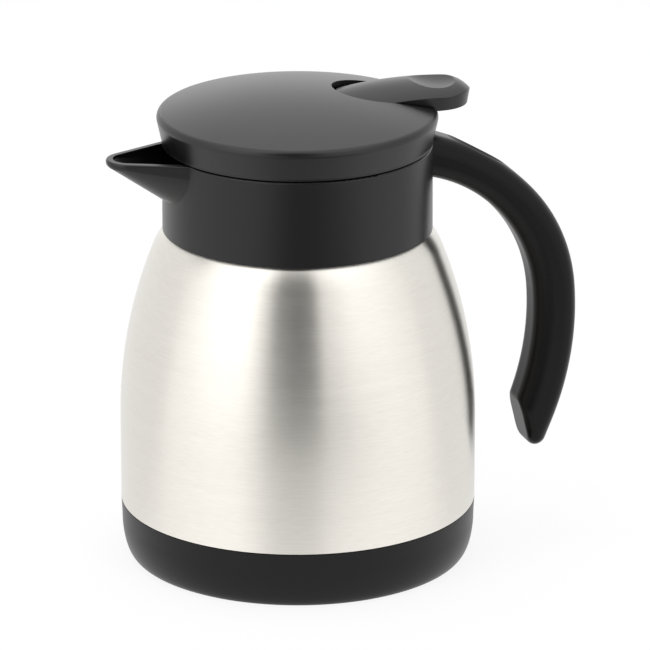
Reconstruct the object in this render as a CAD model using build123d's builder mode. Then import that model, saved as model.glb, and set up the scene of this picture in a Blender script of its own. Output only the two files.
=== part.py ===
from build123d import *
import os
from math import asin, atan2, cos, degrees, hypot, radians, sin, sqrt, tan

# Vacuum table carafe: double-walled steel flask, plastic base, collar with spout,
# open-ended handle and a screw-in stopper lid whose thumb lever lifts the pouring valve.
# Millimetres. Origin at the centre of the base's underside, +Z up the axis,
# +X towards the handle, -X towards the spout.

# --- steel body ---------------------------------------------------------------
BODY_R = 60.0  # outside radius of the straight lower body
BASE_H = 19.4  # height of the plastic base cup
DOME_START = 49.0  # height where the straight side starts to curve inwards
DOME_R = 158.0  # radius of the long side curve
DOME_ANGLE = 21.8  # degrees turned by the long side curve
SHOULDER_R = 19.5  # radius of the tight shoulder curve
SHOULDER_ANGLE = 23.7  # degrees turned by the shoulder curve
SHELF_RISE = 0.66  # rise of the shelf from the shoulder's end to the neck
SHELL_T = 0.6  # sheet thickness of every steel wall
VACUUM_GAP = 5.8  # evacuated gap between the outer shell and the flask
SEAM = 0.3  # visible gap at a seam between two covers
FIT = 0.2  # radial gap between pieces that are pushed together
RUNNING_FIT = 0.05  # radial gap between a shaft and its hole
CUT = 200.0  # length of a cut that goes right through a piece

# --- neck and mouth -----------------------------------------------------------
MOUTH_IN = 17.26  # how far the flask's mouth lies inside the end of the shoulder
NECK_WALL = 3.2  # thickness of the double-walled neck
NECK_H = 5.0  # height of the neck above the shelf
BEAD_W = 0.7  # how far the neck's rolled bead stands out
BEAD_H = 1.2  # height of the rolled bead
GASKET_T = 0.8  # thickness of the flat washer on the lip

# --- flask bottom and base ----------------------------------------------------
FLASK_FLOOR_Z = 13.6  # underside of the flask's bottom
FLASK_CORNER_R = 10.0  # corner radius of the flask's bottom
SKIRT_IN = 2.8  # step between the body and the shell's lower edge
SKIRT_Z = 6.0  # height of the shell's lower edge
PLATE_UP = 2.0  # height of the shell's bottom plate above that edge
PUMP_HOLE_R = 1.5  # hole through which the gap is evacuated
PUMP_DISH_R = 7.0  # dish round the pump hole
PUMP_DISH_H = 1.0  # depth of that dish
PUMP_CAP_R = 4.5  # radius of the disc that seals the pump hole
GETTER_R = 6.0  # getter tablet
GETTER_H = 2.0
GETTER_X = 22.0
BASE_FOOT_IN = 4.5  # how far the base's standing edge lies inside the body
BASE_ROUND_H = 13.6  # height of the base's elliptical rounding
BASE_SIDE_IN = 0.27  # how far the base's side leans in above the rounding
BASE_FLOOR_T = 2.2  # thickness of the base's floor
BASE_RING_W = 7.5  # width of the ring that stands on the table
BASE_RECESS = 1.2  # how far the floor is recessed inside that ring
BASE_STEP_W = 5.4  # width of the inner step that the shell stands on

# --- collar, spout and pour ring ----------------------------------------------
COLLAR_OUT = 1.04  # how far the collar stands out past the end of the shoulder
COLLAR_LEAN = 0.1  # how much the collar narrows from its lower edge to its rim
COLLAR_T = 2.4  # wall thickness
COLLAR_LAP = 0.4  # how far the collar reaches below the shelf
COLLAR_H = 29.4
RIM_ROUND = 0.7  # rounding of the collar's and spout's rim
SPOUT_OUT = 20.9  # how far the spout's tip stands out past the collar
SPOUT_TIP_R = 8.0  # radius of the tip seen from above
SPOUT_HALF = 15.7  # half width of the spout where it leaves the collar
SPOUT_DEPTH = 16.6  # depth of the spout there, from the rim to the keel
SPOUT_T = 2.3  # wall thickness of the spout
TIP_DEPTH = 1.9  # depth of the spout at its tip
TIP_ROUND = 1.7  # rounding under the tip
SIDE_BAND = 0.4  # width cut from the trough to leave an upright band along its rim
CHANNEL_END_H = 0.6  # depth of the spout's channel where it ends behind the tip
THROAT_SILL = 0.3  # height of the opening's floor above the cup's floor
CUP_GAP = 2.7  # gap between the collar's wall and the cup's
CUP_WALL = 2.2  # wall thickness of the cup
CUP_RISE = 11.0  # height of the cup's floor above the lip
CUP_DROP = 0.4  # how far the cup's rim lies below the collar's
CUP_FLOOR_T = 2.0  # thickness of the cup's floor
BORE_STEP = 1.8  # how much wider the stopper's bore is than the mouth
RING_SKIRT_H = 4.2  # how far the pour ring's skirt reaches down past the lip
RING_SKIRT_T = 2.2  # thickness of that skirt

# --- handle -------------------------------------------------------------------
HANDLE_W = 17.0  # width across
HANDLE_ROOT_T = 14.8  # thickness at the collar, seen from the side
HANDLE_GRIP_T = 15.0  # thickness of the grip
HANDLE_ROUND = 5.8  # rounding of the four long edges
HANDLE_DROP = 7.9  # depth of the middle of the handle's root below the collar's rim
HANDLE_SLOPE = -20.4  # direction of the handle's back at the collar, degrees
HANDLE_STRAIGHT = 3.9  # straight run of the back before the first bend
UPPER_BEND_R = 80.0  # the back's three bends, from the collar to the free end
UPPER_BEND_ANGLE = 27.0
MIDDLE_BEND_R = 58.9
MIDDLE_BEND_ANGLE = 38.1
LOWER_BEND_R = 104.4
LOWER_BEND_ANGLE = 27.3
HANDLE_TAIL = 10.1  # straight run from the last bend to the free end
BEVEL_LEFT = 5.2  # width of the end face that the bevel at the free end leaves
BEVEL_ANGLE = 36.0  # degrees between that bevel and the handle's tail
BEVEL_ROUND = 3.0  # rounding where the bevel meets the end face
NOSE_ROUND = 4.0  # rounding of the free end
SCOOP_R = 11.0  # crosswise radius of the thumb scoop
SCOOP_LONG_R = 65.0  # lengthwise radius of the thumb scoop
SCOOP_DEPTH = 2.2
SCOOP_PLACE = 0.37  # place of the scoop's middle as a share of the first bend
HANDLE_SCREW_GAP = 6.4  # distance between the two handle screws
HANDLE_SCREW_DROP = 1.6  # how far their middle lies below the middle of the root
SCREW_R = 1.4  # shank radius of every self-tapping screw
SCREW_HEAD_R = 2.7
SCREW_HEAD_H = 1.8
HANDLE_SCREW_L = 9.0

# --- stopper ------------------------------------------------------------------
PLUG_GAP = 0.8  # radial gap between the plug and the mouth
PLUG_DEPTH = 13.0  # how far the plug reaches below the lip
PLUG_FLOOR_T = 2.5
PLUG_T = 2.0  # wall thickness of the plug
PORT_R = 8.0  # radius of the valve's port
SEAL_T = 1.7  # thickness of the gasket that the flange presses on the lip
FLANGE_GAP = 0.4  # radial gap between the flange and the bore
FLANGE_H = 1.6
THREAD_H = 1.8  # radial room for the thread between the stopper and the bore
PLATE_RISE = 1.0  # height above the rim of the plate that closes the lid
PLATE_T = 2.0
WINDOW_W = 16.0  # pouring windows in the stopper's side
WINDOW_H = 10.4
WINDOW_UP = 1.0  # height of their lower edge above the cup's floor
WINDOW_ROUND = 2.0
WINDOW_COUNT = 4
GUIDE_STEP = 0.7  # shoulder that the stem guide rests on
GUIDE_DROP = 1.6  # depth of that shoulder below the plate
GUIDE_T = 2.2
GUIDE_TUBE_R = 4.8
GUIDE_TUBE_H = 16.0  # height of the guide from the tube's end to its top
GUIDE_SEAL_R = 3.7  # radius of the seal's pocket
GUIDE_SEAL_DEPTH = 2.1
STEM_SEAL_H = 1.6  # height of the square-section ring in that pocket

# --- valve --------------------------------------------------------------------
STEM_R = 2.0
STEM_HEAD_R = 4.5
STEM_HEAD_H = 1.5
STEM_SPIGOT_R = 2.2  # spigot that centres the spring
STEM_SPIGOT_H = 1.8
HUB_R = 9.5
HUB_T = 2.0
HUB_CONE_H = 5.0
VALVE_SEAL_LAP = 2.5  # how far the valve's seal overlaps its seat
VALVE_SEAL_T = 1.5
VALVE_BUTTON_R = 3.0  # button that holds the seal on the hub
VALVE_BUTTON_H = 1.3
SPRING_R = 3.5  # mean radius of the valve spring
SPRING_WIRE_R = 0.45
SPRING_TURNS = 3

# --- lid cover ----------------------------------------------------------------
LID_H = 18.1  # height of the dome's top above the collar's rim
LID_DOME_R = 154.0
LID_OVERHANG = 1.7  # how far the lid's edge stands out past its skirt
LID_EDGE_ROUND = 2.2
LID_WAIST_H = 1.2  # height above the rim where the edge's undercut starts
LID_SEAM = 0.5  # gap between the collar's rim and the lid's skirt
LID_T = 2.0
SLOT_GAP = 0.5  # gap between the lever and its slot at the sides
NOSE_GAP = 1.6  # gap between the lever and its slot at the nose
SLOT_NOSE_X = 12.6  # front end of the slot
TRAY_RISE = 6.8  # height above the rim of the slot's floor under the lever
TRAY_T = 2.0
TRAY_X = 36.0  # front edge of that floor
CHEEK_T = 2.0  # walls that hold the lever's pin
CHEEK_X = 19.0  # front edge of those walls
BOSS_IN = 4.0  # how far the lid's screw bosses lie inside the cup's wall
BOSS_R = 3.6
BOSS_ANGLES = (60.0, 180.0, 300.0)
LID_SCREW_L = 7.5
SPRING_CUP_R = 5.4
SPRING_CUP_T = 1.1
SPRING_CUP_H = 2.2

# --- lever --------------------------------------------------------------------
LEVER_HALF = 12.8  # half width at the ridge
LEVER_OVERHANG = 13.0  # how far the lever reaches past the lid's edge
LEVER_TAPER = 0.8  # how much the side draws in from the ridge to the underside
LEVER_RISE = 10.0  # height of the underside above the collar's rim
LEVER_SIDE_H = 4.7  # height of the side, from the underside to the ridge
LEVER_CROWN_R = 26.0  # cross-section radius of the crowned top
LEVER_CROWN_H = 3.6  # height of the crown above the ridge
LEVER_CROWN_X = 40.0  # place of its highest point
LEVER_SWEEP_R = 151.0  # lengthwise radius of the top
LEVER_END_R = 10.0  # radius of the top where it falls to the thumb end
LEVER_END_RUN = 6.7  # length of that fall
DISH_IN = 12.0  # distance of the thumb dish's middle from the lever's end
DISH_DEPTH = 2.4
DISH_LONG_R = 16.9  # lengthwise radius of the dish
DISH_CROSS_R = 40.0  # crosswise radius of the dish
LEVER_WALL = 2.8  # wall round the hollow under the thumb end
CORE_LENGTH = 23.0
CORE_DEPTH = 2.6
PIN_X = 25.0  # lever's pin
PIN_UP = 2.5  # height of the pin above the underside
PIN_R = 1.5
ARM_HALF = 6.0  # half width of the arm that reaches the valve
ARM_GAP = 0.7  # gap between the arm and the stopper's plate
ARM_T = 2.3
ARM_RISE_X = 9.7  # place where the arm's top starts to rise towards the pin
ARM_END_X = -4.5
FORK_GAP = 0.7  # gap between the fork and the valve's stem
FORK_PLAY = 0.3  # gap between the fork and the head of the stem
FORK_X = 6.0  # end of the fork's slot

# --- heights and radii that follow from the sizes above ------------------------
lean = radians(DOME_ANGLE)
lean_end = radians(DOME_ANGLE + SHOULDER_ANGLE)
shoulder_r = BODY_R - DOME_R * (1 - cos(lean)) - SHOULDER_R * (cos(lean) - cos(lean_end))
shoulder_z = DOME_START + DOME_R * sin(lean) + SHOULDER_R * (sin(lean_end) - sin(lean))
shelf_z = shoulder_z + SHELF_RISE
lip_z = shelf_z + NECK_H
mouth_r = shoulder_r - MOUTH_IN
neck_r = mouth_r + NECK_WALL
bore_r = mouth_r + BORE_STEP
flask_neck_r = mouth_r + SHELL_T
flask_inset = SHELL_T + VACUUM_GAP
flask_r = BODY_R - flask_inset
flask_join_z = FLASK_FLOOR_Z + FLASK_CORNER_R + SHELL_T
skirt_r = BODY_R - SKIRT_IN
plate_z = SKIRT_Z + PLATE_UP
collar_r = shoulder_r + COLLAR_OUT
collar_in_r = collar_r - COLLAR_T
spout_reach = collar_r + SPOUT_OUT
collar_z = shelf_z - COLLAR_LAP
rim_z = collar_z + COLLAR_H
cup_out_r = collar_in_r - CUP_GAP
cup_r = cup_out_r - CUP_WALL
boss_ring_r = cup_r - BOSS_IN
cup_floor_z = lip_z + CUP_RISE
cup_top_z = rim_z - CUP_DROP
handle_z = rim_z - HANDLE_DROP
screws_mid_z = handle_z - HANDLE_SCREW_DROP
handle_screw_z = (screws_mid_z - HANDLE_SCREW_GAP / 2, screws_mid_z + HANDLE_SCREW_GAP / 2)
screw_seat_x = sqrt(collar_in_r**2 - SCREW_HEAD_R**2)
screw_end_x = screw_seat_x + HANDLE_SCREW_L
throat_floor_z = cup_floor_z + THROAT_SILL
plug_r = mouth_r - PLUG_GAP
plug_z = lip_z - PLUG_DEPTH
plug_bore_r = plug_r - PLUG_T
seat_z = plug_z + PLUG_FLOOR_T
seal_z = lip_z + SEAM
flange_z = seal_z + SEAL_T
core_r = bore_r - THREAD_H
cover_z = rim_z + PLATE_RISE
cover_top_z = cover_z + PLATE_T
guide_r = plug_bore_r + GUIDE_STEP
guide_z = cover_z - GUIDE_DROP
guide_seal_z = cover_top_z - GUIDE_SEAL_DEPTH
arm_z = cover_top_z + ARM_GAP
arm_top_z = arm_z + ARM_T
head_z = arm_top_z + FORK_PLAY
head_top_z = head_z + STEM_HEAD_H
lid_top_z = rim_z + LID_H
lid_skirt_r = collar_r
lid_skirt_z = rim_z + LID_SEAM
lid_waist_z = rim_z + LID_WAIST_H
lid_edge_r = lid_skirt_r + LID_OVERHANG
lid_in_r = lid_skirt_r - LID_T
tray_z = rim_z + TRAY_RISE
slot_half = LEVER_HALF + SLOT_GAP
cheek_out = slot_half + CHEEK_T
pin_length = 2 * cheek_out
lever_z = rim_z + LEVER_RISE
ridge_z = lever_z + LEVER_SIDE_H
crown_z = ridge_z + LEVER_CROWN_H
pin_z = lever_z + PIN_UP
lever_nose_x = SLOT_NOSE_X + NOSE_GAP
lever_end_x = lid_edge_r + LEVER_OVERHANG
dish_x = lever_end_x - DISH_IN

os.makedirs("parts", exist_ok=True)


def body_line(inset, low):
    """Draw the body's side and shoulder, moved in by inset, and return its two ends."""
    side = Line((BODY_R - inset, low), (BODY_R - inset, DOME_START))
    dome = JernArc(side @ 1, side % 1, DOME_R - inset, DOME_ANGLE)
    shoulder = JernArc(dome @ 1, dome % 1, SHOULDER_R - inset, SHOULDER_ANGLE)
    return side @ 0, shoulder @ 1


def save(piece, name):
    """Label a finished piece and write it to its own file."""
    piece.part.label = name
    export_step(piece.part, f"parts/{name}.step")


# Outer shell: drawn steel sheet with a stepped-in lower edge, a long curved side, a flat
# shelf under the collar and a neck that ends in a rolled bead, turned in to meet the flask.
step_z = BASE_H + SEAM
with BuildPart() as outer_shell:
    with BuildSketch(Plane.XZ):
        with BuildLine():
            low_out, top_out = body_line(0, step_z)
            low_in, top_in = body_line(SHELL_T, step_z + SHELL_T)
            Polyline(
                top_out,
                (neck_r, shelf_z),
                (neck_r, lip_z - BEAD_H),
                (neck_r + BEAD_W, lip_z - BEAD_H),
                (neck_r + BEAD_W, lip_z),
                (flask_neck_r, lip_z),
                (flask_neck_r, lip_z - SHELL_T),
                (neck_r - SHELL_T, lip_z - SHELL_T),
                (neck_r - SHELL_T, shelf_z - SHELL_T),
                top_in,
            )
            Polyline(
                low_out,
                (skirt_r, step_z),
                (skirt_r, SKIRT_Z),
                (skirt_r - SHELL_T, SKIRT_Z),
                (skirt_r - SHELL_T, step_z + SHELL_T),
                low_in,
            )
        make_face()
    revolve(axis=Axis.Z)
save(outer_shell, "outer_shell")

# Inner flask: the liner, parallel to the outer shell across the evacuated gap.
flask_shoulder_z = shoulder_z - flask_inset * sin(lean_end)
flask_neck_z = flask_shoulder_z + SHELF_RISE
with BuildPart() as inner_flask:
    with BuildSketch(Plane.XZ):
        with BuildLine():
            low_out, top_out = body_line(flask_inset, flask_join_z)
            low_in, top_in = body_line(flask_inset + SHELL_T, flask_join_z)
            Line(low_out, low_in)
            Polyline(
                top_out,
                (flask_neck_r, flask_neck_z),
                (flask_neck_r, lip_z),
                (mouth_r, lip_z),
                (mouth_r, flask_neck_z - SHELL_T),
                top_in,
            )
        make_face()
    revolve(axis=Axis.Z)
save(inner_flask, "inner_flask")

# Flask bottom: a pressed dish butt-welded to the flask.
with BuildPart() as flask_bottom:
    with BuildSketch(Plane.XZ):
        with BuildLine():
            Polyline(
                (0, FLASK_FLOOR_Z + SHELL_T),
                (0, FLASK_FLOOR_Z),
                (flask_r - FLASK_CORNER_R, FLASK_FLOOR_Z),
            )
            JernArc((flask_r - FLASK_CORNER_R, FLASK_FLOOR_Z), (1, 0), FLASK_CORNER_R, 90)
            Polyline(
                (flask_r, FLASK_FLOOR_Z + FLASK_CORNER_R),
                (flask_r, flask_join_z),
                (flask_r - SHELL_T, flask_join_z),
                (flask_r - SHELL_T, FLASK_FLOOR_Z + FLASK_CORNER_R),
            )
            JernArc(
                (flask_r - FLASK_CORNER_R, FLASK_FLOOR_Z + SHELL_T),
                (1, 0),
                FLASK_CORNER_R - SHELL_T,
                90,
            )
            Line(
                (0, FLASK_FLOOR_Z + SHELL_T),
                (flask_r - FLASK_CORNER_R, FLASK_FLOOR_Z + SHELL_T),
            )
        make_face()
    revolve(axis=Axis.Z)
save(flask_bottom, "flask_bottom")

# Getter: a tablet on the flask's underside that binds stray gas in the gap.
with BuildPart() as getter:
    with BuildSketch(Plane.XY.offset(FLASK_FLOOR_Z - GETTER_H)):
        with Locations((GETTER_X, 0)):
            Circle(GETTER_R)
    extrude(amount=GETTER_H)
save(getter, "getter")

# Shell bottom: a flanged plate welded into the shell, dished round the pump hole.
plate_r = skirt_r - SHELL_T
with BuildPart() as shell_bottom:
    with BuildSketch(Plane.XZ):
        with BuildLine():
            Polyline(
                (PUMP_HOLE_R, plate_z + PUMP_DISH_H),
                (PUMP_DISH_R - PUMP_DISH_H, plate_z + PUMP_DISH_H),
                (PUMP_DISH_R, plate_z),
                (plate_r - SHELL_T, plate_z),
                (plate_r - SHELL_T, SKIRT_Z),
                (plate_r, SKIRT_Z),
                (plate_r, plate_z + SHELL_T),
                (PUMP_DISH_R, plate_z + SHELL_T),
                (PUMP_DISH_R - PUMP_DISH_H, plate_z + PUMP_DISH_H + SHELL_T),
                (PUMP_HOLE_R, plate_z + PUMP_DISH_H + SHELL_T),
                close=True,
            )
        make_face()
    revolve(axis=Axis.Z)
save(shell_bottom, "shell_bottom")

# Vacuum cap: the disc that seals the pump hole inside the dish.
with BuildPart() as vacuum_cap:
    with BuildSketch(Plane.XY.offset(plate_z)):
        Circle(PUMP_CAP_R)
    extrude(amount=PUMP_DISH_H)
save(vacuum_cap, "vacuum_cap")

# Base cup: moulded plastic with an elliptical lower edge; the shell stands on its inner step.
base_side_r = BODY_R - BASE_SIDE_IN
base_bore_r = skirt_r + FIT
base_foot_r = BODY_R - BASE_FOOT_IN
base_ring_r = base_foot_r - BASE_RING_W
with BuildPart() as base_cup:
    with BuildSketch(Plane.XZ):
        with BuildLine():
            EllipticalCenterArc(
                (base_foot_r, BASE_ROUND_H),
                base_side_r - base_foot_r,
                BASE_ROUND_H,
                start_angle=270,
                arc_size=90,
            )
            Polyline(
                (base_side_r, BASE_ROUND_H),
                (BODY_R, BASE_H),
                (base_bore_r, BASE_H),
                (base_bore_r, SKIRT_Z),
                (base_bore_r - BASE_STEP_W, SKIRT_Z),
                (base_bore_r - BASE_STEP_W, BASE_RECESS + BASE_FLOOR_T),
                (0, BASE_RECESS + BASE_FLOOR_T),
                (0, BASE_RECESS),
                (base_ring_r - BASE_RECESS, BASE_RECESS),
                (base_ring_r, 0),
                (base_foot_r, 0),
            )
        make_face()
    revolve(axis=Axis.Z)
save(base_cup, "base_cup")


def spout_plan(inset):
    """Spout seen from above: straight sides tangent to a round tip."""
    tip_x = spout_reach - SPOUT_TIP_R
    tip_r = SPOUT_TIP_R - inset
    touch_x = -tip_x - tip_r * sin(spout_side)
    touch_y = tip_r * cos(spout_side)
    root_y = touch_y - (bore_r + touch_x) * tan(spout_side)
    Line((-bore_r, root_y), (touch_x, touch_y))
    ThreePointArc((touch_x, touch_y), (-tip_x - tip_r, 0), (touch_x, -touch_y))
    Polyline((touch_x, -touch_y), (-bore_r, -root_y), (-bore_r, root_y))


def trough_section(reach, inset):
    """Half ellipse of the spout's trough at a distance from the axis."""
    half = SPOUT_HALF - (reach - spout_root) * tan(spout_side) - inset / cos(spout_side)
    half += SIDE_BAND
    depth = SPOUT_DEPTH - (reach - collar_r) * tan(keel_angle) - inset / cos(keel_angle)
    EllipticalCenterArc((0, rim_z), half, depth, start_angle=180, arc_size=180)
    Line((-half, rim_z), (half, rim_z))


# Trough: the spout's outer form, a half cone of elliptical section cut to a rounded tip.
# Channel: the same form set in by the wall, with a level floor where it meets the cup.
spout_root = sqrt(collar_r**2 - SPOUT_HALF**2)
spout_run = spout_reach - SPOUT_TIP_R - spout_root
spout_side = atan2(SPOUT_HALF, spout_run) - asin(SPOUT_TIP_R / hypot(spout_run, SPOUT_HALF))
keel_angle = atan2(SPOUT_DEPTH - TIP_DEPTH, SPOUT_OUT)
channel_depth = SPOUT_DEPTH - SPOUT_T / cos(keel_angle)
channel_reach = collar_r + (channel_depth - CHANNEL_END_H) / tan(keel_angle)
with BuildPart() as trough:
    for reach in (bore_r, spout_reach):
        with BuildSketch(Plane.YZ.offset(-reach)):
            with BuildLine():
                trough_section(reach, 0)
            make_face()
    loft(ruled=True)
    with BuildSketch(Plane.XY.offset(rim_z)):
        with BuildLine():
            spout_plan(0)
        make_face()
    extrude(amount=-CUT, mode=Mode.INTERSECT)
    tip_edges = trough.faces().filter_by(GeomType.CYLINDER).edges()
    fillet(tip_edges.filter_by_position(Axis.Z, plug_z, rim_z - CHANNEL_END_H), TIP_ROUND)
with BuildPart() as channel:
    for reach in (bore_r, channel_reach):
        with BuildSketch(Plane.YZ.offset(-reach)):
            with BuildLine():
                trough_section(reach, SPOUT_T)
            make_face()
    loft(ruled=True)
    with BuildSketch(Plane.XY.offset(rim_z)):
        with BuildLine():
            spout_plan(SPOUT_T)
        make_face()
    extrude(amount=throat_floor_z - rim_z, mode=Mode.INTERSECT)

# Throat: the walls that join the channel's sides and floor to the cup.
with BuildPart() as throat:
    with BuildSketch(Plane.XY.offset(rim_z)):
        with BuildLine():
            spout_plan(0)
        make_face()
    extrude(amount=throat_floor_z - SPOUT_T - rim_z)
    with BuildSketch(Plane.XY.offset(throat_floor_z - SPOUT_T)):
        Circle(collar_r - COLLAR_T / 2)
        Circle(cup_out_r + FIT, mode=Mode.SUBTRACT)
    extrude(amount=rim_z - throat_floor_z + SPOUT_T, mode=Mode.INTERSECT)

# Collar: moulded ring with the spout drawn out of it, cut through to the cup by the channel.
with BuildPart() as collar:
    add(trough.part)
    spout_rim = collar.edges().filter_by_position(Axis.Z, rim_z, rim_z).sort_by(Axis.X)[:3]
    fillet(spout_rim, RIM_ROUND)
    with Locations((0, 0, collar_z)):
        Cylinder(collar_in_r, CUT, mode=Mode.SUBTRACT)
    with BuildSketch(Plane.XZ) as collar_section:
        Polygon(
            (collar_in_r, collar_z),
            (collar_r, collar_z),
            (collar_r - COLLAR_LEAN, rim_z),
            (collar_in_r, rim_z),
            align=None,
        )
        fillet(collar_section.vertices().group_by(Axis.Y)[-1], RIM_ROUND)
    revolve(axis=Axis.Z)
    add(throat.part)
    add(channel.part, mode=Mode.SUBTRACT)
    # Screw holes for the handle, through the wall on the far side.
    for screw_z in handle_screw_z:
        with Locations(Location((collar_r, 0, screw_z), (0, 90, 0))):
            Hole(SCREW_R + FIT, depth=COLLAR_T + CUP_GAP)
save(collar, "collar")

# Neck gasket: flat washer between the steel lip and the pour ring.
with BuildPart() as neck_gasket:
    with BuildSketch(Plane.XY.offset(lip_z)):
        Circle(neck_r + BEAD_W)
        Circle(bore_r, mode=Mode.SUBTRACT)
    extrude(amount=GASKET_T)
save(neck_gasket, "neck_gasket")

# Pour ring: cup that catches the pour, bore for the stopper and a skirt that snaps under the bead.
skirt_in_r = neck_r + BEAD_W + FIT
ring_skirt_z = lip_z - RING_SKIRT_H
with BuildPart() as pour_ring:
    with BuildSketch(Plane.XZ):
        Polygon(
            (bore_r, lip_z + GASKET_T),
            (bore_r, cup_floor_z),
            (cup_r, cup_floor_z),
            (cup_r, cup_top_z),
            (cup_out_r, cup_top_z),
            (cup_out_r, cup_floor_z - CUP_FLOOR_T),
            (skirt_in_r + RING_SKIRT_T, cup_floor_z - CUP_FLOOR_T),
            (skirt_in_r + RING_SKIRT_T, ring_skirt_z),
            (neck_r + FIT, ring_skirt_z),
            (neck_r + FIT, lip_z - BEAD_H - BEAD_W),
            (skirt_in_r, lip_z - BEAD_H - FIT),
            (skirt_in_r, lip_z + GASKET_T),
            align=None,
        )
    revolve(axis=Axis.Z)
    add(channel.part, mode=Mode.SUBTRACT)
save(pour_ring, "pour_ring")

# Handle: an open hook of rounded section, with a thumb scoop on its bend and a bevelled end.
# Its back is a chain of three arcs; its underside follows at the grip's thickness.
back_bends = (
    (UPPER_BEND_R, UPPER_BEND_ANGLE),
    (MIDDLE_BEND_R, MIDDLE_BEND_ANGLE),
    (LOWER_BEND_R, LOWER_BEND_ANGLE),
)
with BuildPart() as handle:
    with BuildSketch(Plane.XZ):
        with BuildLine():
            back_start = Vector(collar_r, handle_z) + Vector(0, HANDLE_ROOT_T / 2).rotate(
                Axis.Z, HANDLE_SLOPE
            )
            root = PolarLine(back_start, HANDLE_ROOT_T, HANDLE_SLOPE + 180)
            run = PolarLine(back_start, HANDLE_STRAIGHT, HANDLE_SLOPE)
            bends = []
            end, way = run @ 1, run % 1
            for bend_r, bend_angle in back_bends:
                bend = JernArc(end, way, bend_r, -bend_angle)
                bends.append(bend)
                end, way = bend @ 1, bend % 1
            tail = Line(end, end + way * (HANDLE_TAIL + HANDLE_GRIP_T))
            # The underside: one arc from the grip to the root, and the lower bend at grip thickness.
            grip_way = bends[1] % 1
            grip_inner = bends[1] @ 1 + grip_way.rotate(Axis.Z, -90) * HANDLE_GRIP_T
            root_inner = back_start + (run % 0).rotate(Axis.Z, -90) * HANDLE_ROOT_T
            underside = TangentArc(grip_inner, root_inner, tangent=-grip_way)
            root_under = Line(root_inner, root_inner + (underside % 1) * HANDLE_ROOT_T)
            Line(root_under @ 1, root @ 1)
            grip = JernArc(grip_inner, grip_way, LOWER_BEND_R - HANDLE_GRIP_T, -LOWER_BEND_ANGLE)
            tail_inner = Line(grip @ 1, grip @ 1 + way * (HANDLE_TAIL + HANDLE_GRIP_T))
            Line(tail_inner @ 1, tail @ 1)
        make_face()
    extrude(amount=HANDLE_W / 2, both=True)
    fillet(handle.faces().filter_by(Axis.Y).edges(), HANDLE_ROUND)
    # Free end, cut square to the tail and bevelled on its inner side.
    handle_end = end + way * HANDLE_TAIL
    tail_angle = degrees(atan2(way.Y, way.X))
    with BuildSketch(Plane.XZ):
        with Locations(Location((handle_end.X, handle_end.Y), tail_angle + 90)):
            Rectangle(CUT, CUT, align=(Align.CENTER, Align.MAX))
    extrude(amount=HANDLE_W, both=True, mode=Mode.SUBTRACT)
    fillet(handle.faces().sort_by(Axis.Z)[0].edges(), NOSE_ROUND)
    bevel_foot = handle_end + way.rotate(Axis.Z, -90) * BEVEL_LEFT
    with BuildSketch(Plane.XZ):
        with Locations(Location((bevel_foot.X, bevel_foot.Y), tail_angle + BEVEL_ANGLE)):
            Rectangle(2 * HANDLE_TAIL + 2 * HANDLE_GRIP_T, CUT, align=(Align.CENTER, Align.MAX))
    extrude(amount=HANDLE_W, both=True, mode=Mode.SUBTRACT)
    nose_edges = handle.faces().filter_by(GeomType.PLANE).sort_by(Axis.Z)[0].edges()
    fillet(nose_edges.filter_by(Axis.Y).sort_by(Axis.X)[0], BEVEL_ROUND)
    scoop_mid = bends[0] @ SCOOP_PLACE
    scoop_way = bends[0] % SCOOP_PLACE
    scoop_lift = SCOOP_LONG_R - SCOOP_DEPTH
    scoop_x = scoop_mid.X - scoop_way.Y * scoop_lift
    scoop_z = scoop_mid.Y + scoop_way.X * scoop_lift
    with Locations(Location((scoop_x, 0, scoop_z), (90, 0, 0))):
        Torus(SCOOP_LONG_R - SCOOP_R, SCOOP_R, mode=Mode.SUBTRACT)
    with Locations((0, 0, handle_z)):
        Cylinder(collar_r, CUT, mode=Mode.SUBTRACT)
    for screw_z in handle_screw_z:
        with Locations(Location((collar_r, 0, screw_z), (0, -90, 0))):
            Hole(SCREW_R, depth=screw_end_x + FIT - collar_r)
save(handle, "handle")

# Handle screws: two self-tapping screws driven from inside the collar into the handle's root.
with BuildPart() as handle_screws:
    for screw_z in handle_screw_z:
        with Locations(Location((screw_seat_x, 0, screw_z), (0, 90, 0))):
            Cylinder(SCREW_R, HANDLE_SCREW_L, align=(Align.CENTER, Align.CENTER, Align.MIN))
            Cylinder(SCREW_HEAD_R, SCREW_HEAD_H, align=(Align.CENTER, Align.CENTER, Align.MAX))
save(handle_screws, "handle_screws")

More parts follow.
